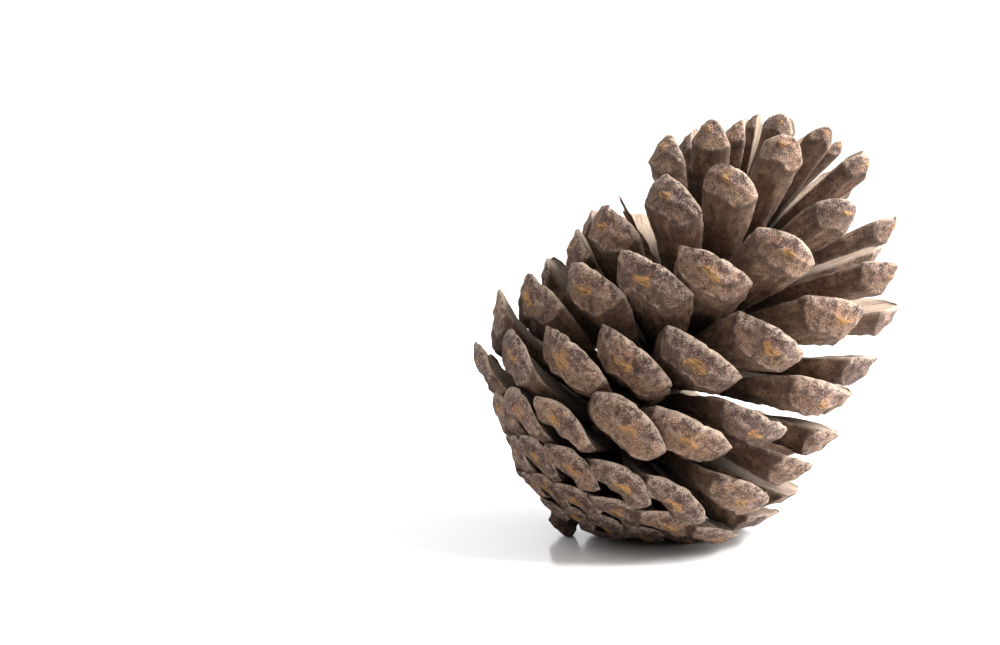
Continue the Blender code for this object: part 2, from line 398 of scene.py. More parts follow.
def tube_faces(rows: int, around: int) -> tuple[Array, Array]:
    """Faces of a closed grid of rings, each ring's points in order, and each end closed on one more point.

    Args:
        rows: how many rings.
        around: how many points in each.
    Returns:
        Quads and triangles; the point of the first end follows the grid, then that of the last.
    """
    i, j = np.meshgrid(np.arange(rows - 1), np.arange(around), indexing="ij")
    k = (j + 1) % around
    quads = np.stack([i * around + j, (i + 1) * around + j, (i + 1) * around + k, i * around + k], -1)
    ring = np.arange(around)
    after = (ring + 1) % around
    first, last = rows * around, rows * around + 1
    start = np.stack([np.full(around, first), ring, after], -1)
    base = (rows - 1) * around
    end = np.stack([np.full(around, last), base + after, base + ring], -1)
    return quads.reshape(-1, 4), np.concatenate([start, end])


# ---------------------------------------------------------------------------------------------------
# One scale
# ---------------------------------------------------------------------------------------------------


@dataclass
class Blade:
    """The grid of one scale while it is shaped: rows run from root to tip, columns go round it.

    x is the place along the scale and share the place across it, both as shares; side is 0 on the inner
    face and 1 on the back; wide is the half width; s and u are x and share in mm, worn and uneven; spot
    is the place that the reliefs are read at; flat is a grid of zeros.
    """

    seat: Seat
    rng: np.random.Generator
    half: float
    depth: float
    size: float
    rim: float
    x: Array
    share: Array
    side: Array
    wide: Array
    u: Array
    s: Array
    spot: Array
    flat: Array


@dataclass
class End:
    """The thick end of one scale: how deep the back is, and the masks of what is on it; shade masks a painted
    shade band on the back under the end.
    """

    thick: Array
    face: Array
    crease: Array
    shade: Array
    inset: Array
    off_keel: Array


@dataclass
class ScaleForm:
    """The shape that every scale shares, in mm for a scale 5.8 mm from middle to corner, and in shares."""

    widest: float = 0.875
    arch: tuple[float, float] = (1.15, 0.52)
    swell_power: float = 1.7
    usual_half: float = 5.8
    root_half: float = 1.5
    root_depth: float = 1.15
    rim: float = 0.30
    rim_round: float = 0.20
    keel_at: float = 1.5
    upper_slope: float = 1.25
    lower_slope: float = 0.85
    hollow: float = 0.15
    hollow_below: float = 2.2
    boxy: float = 5.0
    bulk_power: float = 1.5
    full_at: float = 0.84
    slim_top: float = 0.85
    slim_from: tuple[float, float] = (38.0, 47.0)
    boss_size: tuple[float, float] = (1.50, 0.36)
    scar_at: tuple[float, float] = (0.42, 0.42)
    rows: int = 72
    columns: int = 55
    crowding: float = 1.6

    def half_width(self, x: Array, half: float, root_half: float) -> Array:
        """Half width along a scale: it swells from the root, then closes in a blunt arch.

        Args:
            x: place along the scale, as a share of its length.
            half: half width at the widest place.
            root_half: half width at the root.
        Returns:
            root + (half - root) * (1 - (1 - t)^1.7) up to the widest place, then half * (1 - t^a)^b.
        """
        t = np.clip(x / self.widest, 0, 1)
        swelling = root_half + (half - root_half) * (1.0 - (1.0 - t) ** self.swell_power)
        t = np.clip((x - self.widest) / (1.0 - self.widest), 0, 1)
        closing = half * np.clip(1.0 - t ** self.arch[0], 0, 1) ** self.arch[1]
        return np.where(x <= self.widest, swelling, closing)

    def rim_at(self, share: Array) -> Array:
        """How far along the tip edge lies: the arch of half_width, read backwards.

        Args:
            share: place across the scale, -1 to 1.
        Returns:
            Place along the scale, as a share of its length.
        """
        share = np.clip(np.abs(share), 0, 0.9999)
        closing = (1.0 - share ** (1.0 / self.arch[1])) ** (1.0 / self.arch[0])
        return self.widest + (1.0 - self.widest) * closing

    def blade(self, seat: Seat, stand: Stand) -> Blade:
        """The outline of one scale, its side edges and its tip edge worn and uneven.

        Rows crowd towards the tip with the power of crowding; columns follow a sine, so that they crowd
        towards the side edges.

        Args:
            seat: where it sits.
            stand: how it stands, for its detail and its depth.
        Returns:
            The grid, before its depth is worked out.
        """
        n = seat.number
        rng = np.random.default_rng(Seed.WHOLE_SCALE + n)
        rows, columns = int(self.rows * stand.detail), int(self.columns * stand.detail) | 1
        half = seat.half * float(1.0 - (1.0 - self.slim_top) * smooth(*self.slim_from, n))
        size = half / self.usual_half

        x = 1.0 - (1.0 - np.linspace(0, 1, rows)) ** self.crowding
        share = np.sin(0.5 * math.pi * np.linspace(-1, 1, columns))
        side = np.concatenate([np.zeros(columns), np.ones(columns - 2)])
        share = np.concatenate([share, share[-2:0:-1]])
        x, share, side = x[:, None], share[None, :], side[None, :]
        flat = 0.0 * x * share

        wide = self.half_width(x, half, min(self.root_half, 0.7 * half))
        edge = np.stack([x * seat.length + flat, 3.0 * np.sign(share) + flat, flat], -1)
        worn = ripple(edge, 3.0, Seed.WORN_SIDES + n)
        u = share * wide * np.where(np.abs(share) > 0.02, 1.0 + 0.030 * worn, 1.0)
        cross = np.stack([u, flat + n, flat], -1)
        skew = rng.uniform(-0.10, 0.10)
        ragged = 0.17 * ripple(cross, 3.4, Seed.RAGGED_TIP + n)
        ragged = ragged + 0.08 * ripple(cross, 1.1, Seed.FINE_RAGGED_TIP + n)
        s = x * seat.length + smooth(0.72, 1.0, x) * (size * ragged + skew * u)
        spot = np.stack([u, s, 7.0 * side + flat], -1)
        return Blade(seat, rng, half, seat.depth * stand.thickness, size, self.rim * (0.4 + 0.6 * size),
                     x, share, side, wide, u, s, spot, flat)

    def end(self, b: Blade) -> End:
        """The depth of the back: the smaller of a body and a slanted end face.

        The body thickens from the root with the power 1.5 of the length and has a boxy section.  The end
        face grows with the distance from the tip edge, faster above the cross keel than below it, and is
        a little hollow on both sides of the keel.  Where the two meet is the sharp lower edge of the end.

        Args:
            b: the grid.
        Returns:
            The depth and the masks of the end.
        """
        n = b.seat.number
        inset = (self.rim_at(b.u / b.half) - b.x) * b.seat.length / b.size
        keel_at = self.keel_at * (0.30 + 0.70 * (1.0 - np.abs(b.u / b.half) ** 1.6))
        above, below = np.minimum(inset, keel_at), np.maximum(inset - keel_at, 0.0)
        slope = self.upper_slope * above + self.lower_slope * below
        slope = slope - self.hollow * np.sin(math.pi * np.clip(above / keel_at, 0, 1)) ** 2
        slope = slope - 0.8 * self.hollow * np.sin(math.pi * np.clip(below / self.hollow_below, 0, 1)) ** 2
        slope = b.rim + b.size * slope + 0.13 * b.size * ripple(b.spot, 4.2, Seed.SWELLING + n)

        root_depth = min(self.root_depth, 0.6 * b.depth)
        body = root_depth + (b.depth - root_depth) * np.clip(b.x / self.full_at, 0, 1.15) ** self.bulk_power
        body = b.rim + (body - b.rim) * (1.0 - np.abs(b.share) ** self.boxy)
        folds = ripple(b.spot * np.array([1.0, 0.30, 1.0]), 3.4, Seed.FOLDS + n)
        folds = folds + 0.5 * ripple(b.spot, 2.0, Seed.SMALL_FOLDS + n)
        body = body + 0.22 * b.size * folds * (1 - b.share ** 4) * smooth(0.0, 0.4, b.x)

        spare = body - slope
        return End(
            thick=np.maximum(soft_min(body, slope, 0.05), 0.3 * b.rim),
            face=smooth(-0.03, 0.07, spare) * smooth(0.45, 0.6, b.x),
            crease=np.exp(-(spare / 0.12) ** 2) * smooth(0.5, 0.65, b.x),
            # shade is painted shade: a band on the back just under the overhanging end, to be painted darker.
            shade=smooth(-0.05, -0.30, spare) * smooth(-2.2, -0.4, spare) * smooth(0.4, 0.6, b.x),
            inset=inset,
            off_keel=inset - keel_at)

    def relief(self, b: Blade, end: End, fibre: Array) -> dict[str, Array]:
        """Raise the keel, the boss with its slit, lumps, cracks and fibres on the back.

        Each mark is a bell curve: exp(-(distance / width) ^ power).

        Args:
            b: the grid.
            end: the end, whose depth is changed.
            fibre: the lengthwise fibres.
        Returns:
            The masks of the marks by name.
        """
        n = b.seat.number
        keel = np.exp(-(end.off_keel / 0.26) ** 2) * end.face
        across = (b.u / b.size - b.rng.uniform(-0.6, 0.6)) / (self.boss_size[0] * b.rng.uniform(0.8, 1.15))
        down = (end.off_keel - 0.10 + 0.12 * np.sin(2.2 * b.u + n)) / self.boss_size[1]
        boss = np.exp(-(np.abs(across) ** 3.0 + np.abs(down) ** 2.4)) * end.face
        slit = np.exp(-((across * 1.5) ** 4 + ((down - 0.2) * 3.4) ** 2)) * end.face
        crack = np.exp(-(ripple(b.spot, 3.6, Seed.CRACKS + n) / 0.075) ** 2) * (0.55 + 0.45 * end.face)
        marks = 0.11 * keel + 0.16 * boss - 0.12 * slit - 0.08 * crack
        lumps = 0.060 * ripple(b.spot, 1.4, Seed.LUMPS + n) + 0.034 * ripple(b.spot, 0.65, Seed.GRAINS + n, 9)
        rough = 0.05 * fibre + 0.03 * ripple(b.spot, 0.9, Seed.PITTING + n)
        end.thick = end.thick + b.size * (marks + end.face * lumps + (1 - end.face) * rough)
        near = np.exp(-(across ** 2 + (0.30 * down) ** 2) / 1.8)
        return {"keel": keel, "boss": boss, "slit": slit, "crack": crack, "near": near}

    def heights(self, b: Blade, end: End, fibre: Array, spiral: Spiral) -> tuple[Array, Array]:
        """Height of every point over the scale's own plane, and how far it is from the edge.

        The inner face is a shallow dish with two wing scars, its corners turned up.  It meets the back in
        a thin rounded rim.  The whole blade is a little bowed, its tip turned and curled, and twisted.

        Args:
            b: the grid.
            end: the end with its relief.
            fibre: the lengthwise fibres.
            spiral: where the curl of the tip begins.
        Returns:
            The height in mm, and the distance from the edge, 1 and over counting as inside.
        """
        waves = ripple(b.spot * np.array([1.0, 0.4, 1.0]), 3.0, Seed.INNER_WAVES + b.seat.number)
        scar_u, scar_x = self.scar_at
        scar = np.exp(-(((np.abs(b.u) / b.half - scar_u) / 0.26) ** 2 + ((b.x - scar_x) / 0.32) ** 4))
        ups = np.where(b.share < 0, b.rng.uniform(0.0, 0.55), b.rng.uniform(0.0, 0.45))
        dish = b.seat.corner * (b.u / b.half) ** 2 + b.size * ups * b.share ** 4 * smooth(0.5, 0.9, b.x)
        inside = 0.12 * waves - 0.22 * scar + 0.03 * fibre

        off_edge = np.clip((1.0 - np.abs(b.share)) * b.wide / (self.rim_round * b.size + 0.05), 0, 1)
        meet = np.sqrt(np.clip(1.0 - (1.0 - off_edge) ** 2, 0, 1))
        under = -0.5 * b.rim - meet * (end.thick - 0.5 * b.rim)
        v = dish + np.where(b.side > 0.5, under, b.size * inside * meet - 0.5 * b.rim * (1.0 - meet))

        bow, lift, twist = b.rng.uniform(-0.35, 0.25), b.rng.uniform(-0.25, 0.35), b.rng.uniform(-0.06, 0.06)
        bowed = bow * 4 * b.x * (1 - b.x) * smooth(0, 0.2, b.x)
        v = v + b.size * (bowed + lift * smooth(0.7, 1.0, b.x) ** 2) + twist * b.u * smooth(0.3, 1.0, b.x)
        curled = np.maximum(b.x - spiral.curl_from, 0.0) / (1.0 - spiral.curl_from)
        return v + b.seat.curl * curled ** 2, off_edge

    def surface(self, seat: Seat, spiral: Spiral, stand: Stand) -> Surface:
        """One closed scale: root point, grid of rings from root to tip, tip point.

        Args:
            seat: where it sits.
            spiral: turns it to how the cone lies.
            stand: how it stands, for its detail and its depth.
        Returns:
            The surface, with zone, place, relief and grain values, and stain values that also carry a painted
            shade band, for its finish.
        """
        b = self.blade(seat, stand)
        end = self.end(b)
        fibre = ripple(np.stack([b.u, b.s * 0.10, b.flat], -1), 0.8, Seed.FIBRES + seat.number)
        marks = self.relief(b, end, fibre)
        v, off_edge = self.heights(b, end, fibre, spiral)
        local = np.stack([b.s, b.u, v], -1)
        tone, origin = b.rng.uniform(), b.rng.uniform(-40, 40, size=3)
        values = {
            "zones": [end.face * b.side, 1.0 - b.side + b.flat, marks["boss"] * b.side,
                      1.0 - off_edge + b.flat],
            "place": [b.x + b.flat, smooth(0.25, -0.15, end.off_keel), b.flat + tone,
                      np.clip(end.inset / 6.0, 0, 1)],
            "relief": [marks["keel"] * b.side, marks["slit"] * b.side, marks["crack"] * b.side,
                       end.crease * b.side],
            "grain": [b.u + origin[0], b.s + origin[1], v + origin[2]],
            # The second channel here is painted shade, the dark band on the back under the end; the first is
            # the stain near the boss.
            "stains_and_shade": [marks["near"] * b.side, end.shade * b.side, b.flat],
        }
        closed = {key: closed_rows(np.stack(channels, -1)) for key, channels in values.items()}
        quads, tris = tube_faces(len(b.x) - 1, b.share.shape[1])
        return Surface(spiral.place(seat.root + closed_rows(local) @ seat.frame.T), quads, tris, closed)


def closed_rows(grid: Array) -> Array:
    """The grid of a scale as a list of points: its last row gives way to two end points.

    Args:
        grid: (rows, columns, channels) values.
    Returns:
        Every row but the last, then the mean of the first row, then the mean of the last.
    """
    ends = [grid[0].mean(axis=0)[None], grid[-1].mean(axis=0)[None]]
    return np.concatenate([grid[:-1].reshape(-1, grid.shape[-1]), *ends])


# ---------------------------------------------------------------------------------------------------
# Finishes
# ---------------------------------------------------------------------------------------------------


class Nodes:
    """A short hand for wiring shader nodes."""

    def __init__(self, name: str) -> None:
        """Start an empty material with its output and principled shader."""
        self.material = bpy.data.materials.new(name)
        self.material.use_nodes = True
        self.tree = self.material.node_tree
        self.tree.nodes.clear()
        self.output = self.tree.nodes.new("ShaderNodeOutputMaterial")
        self.shader = self.tree.nodes.new("ShaderNodeBsdfPrincipled")
        self.tree.links.new(self.shader.outputs[0], self.output.inputs[0])

    def feed(self, socket: Socket, value: object) -> None:
        """Link a socket or set a plain value.

        Args:
            socket: the input to feed.
            value: another node's output, a number, or a colour.
        """
        if isinstance(value, Socket):
            self.tree.links.new(value, socket)
        elif isinstance(value, tuple) and len(value) == 3 and socket.type == "RGBA":
            socket.default_value = (*value, 1.0)
        else:
            socket.default_value = value

    def attribute(self, name: str) -> tuple[Socket, ...]:
        """The three channels and the alpha of a colour attribute.

        Args:
            name: the attribute's name.
        Returns:
            Four sockets.
        """
        node = self.tree.nodes.new("ShaderNodeAttribute")
        node.attribute_name = name
        split = self.tree.nodes.new("ShaderNodeSeparateColor")
        self.tree.links.new(node.outputs["Color"], split.inputs[0])
        return (*split.outputs[:3], node.outputs["Alpha"])

    def vector(self, name: str, scale: Colour = (1.0, 1.0, 1.0)) -> Socket:
        """A vector attribute, each axis scaled.

        Args:
            name: the attribute's name.
            scale: the factor of each axis.
        Returns:
            The vector.
        """
        node = self.tree.nodes.new("ShaderNodeAttribute")
        node.attribute_name = name
        turned = self.tree.nodes.new("ShaderNodeVectorMath")
        turned.operation = "MULTIPLY"
        self.tree.links.new(node.outputs["Vector"], turned.inputs[0])
        turned.inputs[1].default_value = scale
        return turned.outputs[0]

    def object_place(self, scale: float) -> Socket:
        """Object coordinates, scaled.

        Args:
            scale: the factor.
        Returns:
            The vector.
        """
        node = self.tree.nodes.new("ShaderNodeTexCoord")
        turned = self.tree.nodes.new("ShaderNodeVectorMath")
        turned.operation = "SCALE"
        self.tree.links.new(node.outputs["Object"], turned.inputs[0])
        turned.inputs["Scale"].default_value = scale
        return turned.outputs[0]

    def noise(self, vector: Socket, scale: float, detail: float = 4.0,
              rough: float = 0.55) -> Socket:
        """Noise from 0 to 1.

        Args:
            vector: where to read it.
            scale: how fine it is.
            detail: how many finer layers it has.
            rough: how strong each finer layer is.
        Returns:
            The value.
        """
        node = self.tree.nodes.new("ShaderNodeTexNoise")
        self.feed(node.inputs["Vector"], vector)
        node.inputs["Scale"].default_value = scale
        node.inputs["Detail"].default_value = detail
        node.inputs["Roughness"].default_value = rough
        return node.outputs[0]

    def span(self, value: Socket, low: float, high: float, to_low: float = 0.0,
             to_high: float = 1.0) -> Socket:
        """A value mapped smoothly from one range to another, and held at its ends outside.

        Args:
            value: the value.
            low: where the range starts; it may be above high.
            high: where it ends.
            to_low: the result at low.
            to_high: the result at high.
        Returns:
            The mapped value.
        """
        node = self.tree.nodes.new("ShaderNodeMapRange")
        node.interpolation_type = "SMOOTHSTEP"
        self.feed(node.inputs["Value"], value)
        for key, number in (("From Min", low), ("From Max", high), ("To Min", to_low), ("To Max", to_high)):
            node.inputs[key].default_value = number
        return node.outputs[0]

    def math(self, kind: str, a: object, b: object = 0.0) -> Socket:
        """One arithmetic step.

        Args:
            kind: the operation.
            a: first value.
            b: second value.
        Returns:
            The result.
        """
        node = self.tree.nodes.new("ShaderNodeMath")
        node.operation = kind
        self.feed(node.inputs[0], a)
        self.feed(node.inputs[1], b)
        return node.outputs[0]

    def mix(self, amount: object, a: object, b: object) -> Socket:
        """Colour a going to colour b by amount.

        Args:
            amount: 0 for a, 1 for b.
            a: first colour.
            b: second colour.
        Returns:
            The colour.
        """
        node = self.tree.nodes.new("ShaderNodeMix")
        node.data_type = "RGBA"
        self.feed(node.inputs[0], amount)
        self.feed(node.inputs[6], a)
        self.feed(node.inputs[7], b)
        return node.outputs[2]

    def bump(self, height: Socket, strength: float, distance: float) -> Socket:
        """A bumped normal.

        Args:
            height: the relief, 0 to 1 and over.
            strength: how much of it shows.
            distance: height of 1, in metres.
        Returns:
            The normal.
        """
        node = self.tree.nodes.new("ShaderNodeBump")
        node.inputs["Strength"].default_value = strength
        node.inputs["Distance"].default_value = distance
        self.feed(node.inputs["Height"], height)
        return node.outputs[0]


@dataclass(frozen=True)
class ScaleFinish:
    """Weathered scale wood: speckled brown back, purple-brown end with an orange boss, pale inner face."""

    # Painted shade: the back goes to this near-black towards the root, deep among the crowded scales.
    back_root_shade: Colour = (0.022, 0.013, 0.009)
    back_brown: Colour = (0.140, 0.078, 0.047)
    back_pale: Colour = (0.285, 0.172, 0.106)
    # Dark grain, speckles and cracks of the back, and also the colour of the painted shade band under the
    # end.
    back_dark_and_shade: Colour = (0.033, 0.017, 0.012)
    back_rust: Colour = (0.155, 0.073, 0.040)
    upper_grey: Colour = (0.115, 0.060, 0.043)
    upper_warm: Colour = (0.285, 0.142, 0.074)
    lower_brown: Colour = (0.098, 0.053, 0.033)
    lower_warm: Colour = (0.215, 0.118, 0.067)
    # Pale flecks of the end, and also the colour of the painted highlight on the crease and keel.
    fleck_and_highlight: Colour = (0.500, 0.375, 0.290)
    dark: Colour = (0.028, 0.014, 0.010)
    red: Colour = (0.075, 0.027, 0.023)
    boss: Colour = (0.440, 0.212, 0.060)
    boss_shade: Colour = (0.100, 0.048, 0.020)
    inner_cream: Colour = (0.360, 0.272, 0.202)
    # Painted shade of the inner face towards its root, and also the colour of its dark specks.
    inner_root_shade_and_speck: Colour = (0.055, 0.034, 0.024)
    inner_streak: Colour = (0.140, 0.088, 0.058)
    # Painted highlight along the edges of the outer part of the scale.
    rim: Colour = (0.400, 0.295, 0.225)

    def build(self) -> bpy.types.Material:
        """Wire the finish: three faces of the scale, each with its own grain, joined by the zones."""
        n = Nodes("weathered_scale_wood")
        end, inner, boss, rim = n.attribute("zones")
        along, above, tone, inset = n.attribute("place")
        keel, slit, crack, crease = n.attribute("relief")
        # near is the stain round the boss; shade is the painted shade band under the end.
        near, shade = n.attribute("stains_and_shade")[:2]
        fine = n.vector("grain")
        fibres = n.noise(n.vector("grain", (3.4, 0.55, 1.6)), 1.0, 6.0, 0.62)
        broad = n.noise(n.vector("grain", (1.0, 0.22, 0.7)), 1.0, 4.0, 0.55)
        blotch = n.noise(fine, 0.42, 4.0, 0.55)
        patch = n.noise(fine, 1.1, 4.0, 0.6)
        grit = n.noise(fine, 5.2, 3.0, 0.7)
        pits = n.noise(n.vector("grain", (1.0, 0.8, 1.0)), 7.5, 2.0, 0.6)

        back = self.back(n, (along, crack, shade), fibres, broad, blotch, (patch, grit, pits))
        face = self.end(n, (boss, keel, slit, crack, crease, near), (tone, inset, above),
                        (blotch, patch, grit, pits))
        # Painted shade: the inner face darkens from cream towards the root, between the crowded scales.
        within = n.mix(n.span(along, 0.38, 0.82), self.inner_root_shade_and_speck, self.inner_cream)
        within = n.mix(n.span(broad, 0.42, 0.66, 0.0, 0.65), within, self.inner_streak)
        within = n.mix(n.span(fibres, 0.50, 0.72, 0.0, 0.5), within, self.inner_streak)
        within = n.mix(n.span(grit, 0.56, 0.70, 0.0, 0.5), within, self.inner_root_shade_and_speck)

        colour = n.mix(end, back, face)
        colour = n.mix(inner, colour, within)
        # Painted highlight: the edges of the outer part of the scale are painted pale, broken up by patch
        # noise.
        edge = n.math("MULTIPLY", n.span(rim, 0.35, 0.95), n.span(along, 0.55, 0.85))
        edge = n.math("MULTIPLY", edge, n.span(patch, 0.36, 0.60, 0.10, 0.80))
        colour = n.mix(edge, colour, self.rim)
        n.feed(n.shader.inputs["Base Color"], colour)
        n.shader.inputs["Roughness"].default_value = 0.72
        n.shader.inputs["Specular IOR Level"].default_value = 0.30
        height = n.math("ADD", n.math("MULTIPLY", fibres, 0.6), n.math("MULTIPLY", grit, 1.1))
        height = n.math("ADD", height, n.math("MULTIPLY", patch, 0.7))
        height = n.math("ADD", height, n.math("MULTIPLY", pits, 0.8))
        n.feed(n.shader.inputs["Normal"], n.bump(height, 1.0, 0.00035))
        return n.material

    def back(self, n: "Nodes", spots: tuple[Socket, ...], fibres: Socket, broad: Socket, blotch: Socket,
             noises: tuple[Socket, ...]) -> Socket:
        """Colour of the back: painted shade makes it dark at the root and in a band under the end; speckled
        brown towards the end, faintly streaked.

        Args:
            n: the material being wired.
            spots: place along the scale, 0 to 1, the crack mask, and the mask of the painted shade band under
                the end.
            fibres: fine lengthwise noise.
            broad: broad lengthwise noise.
            blotch: large cloudy noise.
            noises: patch, grit and pit noise.
        Returns:
            The colour.
        """
        along, crack, shade = spots
        patch, grit, pits = noises
        wood = n.mix(n.span(broad, 0.40, 0.64), self.back_brown, self.back_pale)
        wood = n.mix(n.span(blotch, 0.46, 0.62, 0.0, 0.65), wood, self.back_rust)
        wood = n.mix(n.span(patch, 0.50, 0.38, 0.0, 0.60), wood, self.back_dark_and_shade)
        wood = n.mix(n.span(fibres, 0.50, 0.66, 0.0, 0.55), wood, self.back_dark_and_shade)
        wood = n.mix(n.span(grit, 0.50, 0.38, 0.0, 0.70), wood, self.back_dark_and_shade)
        wood = n.mix(n.span(pits, 0.54, 0.66, 0.0, 0.45), wood, self.back_pale)
        wood = n.mix(n.math("MULTIPLY", crack, 0.75), wood, self.back_dark_and_shade)
        # Painted shade: the back is darkened in a band just under the overhanging end.
        wood = n.mix(n.math("MULTIPLY", shade, 0.50), wood, self.back_dark_and_shade)
        # Painted shade: the back darkens towards the root.
        return n.mix(n.span(along, 0.18, 0.60), self.back_root_shade, wood)

    def end(self, n: "Nodes", marks: tuple[Socket, ...], spots: tuple[Socket, ...],
            noises: tuple[Socket, ...]) -> Socket:
        """Colour of the rhombic end.

        The field above the keel is purple-brown with pale flecks, thickest along the rim; the field below
        it is smoother and browner; the boss is orange, cut by dark slits, and orange runs out of it along
        the cracks; a pale painted highlight runs along the crease, and more faintly along the keel.

        Args:
            n: the material being wired.
            marks: boss, keel, slit, crack and crease masks, and nearness to the boss.
            spots: the scale's own tone, the distance from the tip edge, and the mask of the upper field.
            noises: blotch, patch, grit and pit noise.
        Returns:
            The colour.
        """
        boss, keel, slit, crack, crease, near = marks
        tone, inset, above = spots
        blotch, patch, grit, pits = noises
        warm = n.math("ADD", n.math("MULTIPLY", tone, 0.5), n.math("MULTIPLY", patch, 0.8))
        upper = n.mix(n.span(warm, 0.45, 0.85), self.upper_grey, self.upper_warm)
        upper = n.mix(n.span(blotch, 0.42, 0.56, 0.0, 0.85), upper, self.red)
        rimward = n.span(inset, 0.24, 0.02)
        most = n.math("MAXIMUM", n.math("MULTIPLY", rimward, 0.9), n.span(patch, 0.44, 0.62, 0.15, 0.75))
        upper = n.mix(n.math("MULTIPLY", n.span(grit, 0.50, 0.60), most), upper, self.fleck_and_highlight)
        frost = n.math("MULTIPLY", n.span(inset, 0.10, 0.01), n.span(patch, 0.36, 0.56, 0.0, 0.70))
        upper = n.mix(frost, upper, self.fleck_and_highlight)
        lower = n.mix(n.span(warm, 0.42, 0.85), self.lower_brown, self.lower_warm)
        lower = n.mix(n.span(blotch, 0.50, 0.62, 0.0, 0.55), lower, self.back_rust)
        lower = n.mix(n.span(grit, 0.54, 0.66, 0.0, 0.45), lower, self.fleck_and_highlight)
        face = n.mix(above, lower, upper)
        face = n.mix(n.span(patch, 0.50, 0.38, 0.0, 0.60), face, self.dark)
        face = n.mix(n.span(grit, 0.48, 0.37, 0.0, 0.75), face, self.dark)
        face = n.mix(n.span(pits, 0.46, 0.36, 0.0, 0.80), face, self.dark)
        # Painted highlight: the crease, and the keel more faintly, are painted pale, broken up by patch
        # noise.
        ridge_highlight = n.math("MAXIMUM", n.math("MULTIPLY", crease, 0.95), n.math("MULTIPLY", keel, 0.30))
        face = n.mix(n.math("MULTIPLY", ridge_highlight, n.span(patch, 0.40, 0.60, 0.1, 0.8)), face, self.fleck_and_highlight)
        stain = n.mix(n.span(near, 0.55, 0.90), self.dark, self.boss)
        face = n.mix(n.math("MULTIPLY", crack, 0.70), face, stain)
        streak = n.noise(n.vector("grain", (0.40, 6.0, 6.0)), 1.0, 3.0, 0.6)
        amber = n.mix(n.span(streak, 0.41, 0.53), self.boss_shade, self.boss)
        face = n.mix(n.math("MULTIPLY", n.span(boss, 0.20, 0.55), 0.85), face, amber)
        return n.mix(n.math("MULTIPLY", slit, 0.75), face, self.dark)


@dataclass(frozen=True)
class CoreFinish:
    """Rough dark wood of the axis and the stalk stub; the splinter has the same in paler browns."""

    name: str = "woody_core"
    dark: Colour = (0.026, 0.016, 0.012)
    brown: Colour = (0.110, 0.064, 0.043)
    pale: Colour = (0.240, 0.165, 0.120)

    def build(self) -> bpy.types.Material:
        """Wire the finish from coarse and fine noise on object coordinates."""
        n = Nodes(self.name)
        place = n.object_place(1000.0)
        coarse = n.noise(place, 0.8, 5.0, 0.6)
        fine = n.noise(place, 3.5, 4.0, 0.6)
        colour = n.mix(n.span(coarse, 0.38, 0.66), self.dark, self.brown)
        colour = n.mix(n.span(fine, 0.58, 0.74, 0.0, 0.6), colour, self.pale)
        n.feed(n.shader.inputs["Base Color"], colour)
        n.shader.inputs["Roughness"].default_value = 0.85
        n.shader.inputs["Specular IOR Level"].default_value = 0.25
        n.feed(n.shader.inputs["Normal"], n.bump(n.math("ADD", coarse, fine), 0.8, 0.0004))
        return n.material


@dataclass(frozen=True)
class FloorFinish:
    """Glossy white table top."""

    white: Colour = (0.74, 0.73, 0.725)

    def build(self) -> bpy.types.Material:
        """A plain white with a soft gloss."""
        n = Nodes("white_table")
        n.shader.inputs["Base Color"].default_value = (*self.white, 1.0)
        n.shader.inputs["Roughness"].default_value = 0.16
        n.shader.inputs["Specular IOR Level"].default_value = 0.6
        return n.material


# ---------------------------------------------------------------------------------------------------
# The cone
# ---------------------------------------------------------------------------------------------------


@dataclass(frozen=True)
class Fibre:
    """One torn fibre: reach as a share of the lost scale, then side, half width and bend in mm."""

    reach: float
    side: float
    half: float
    curl: float


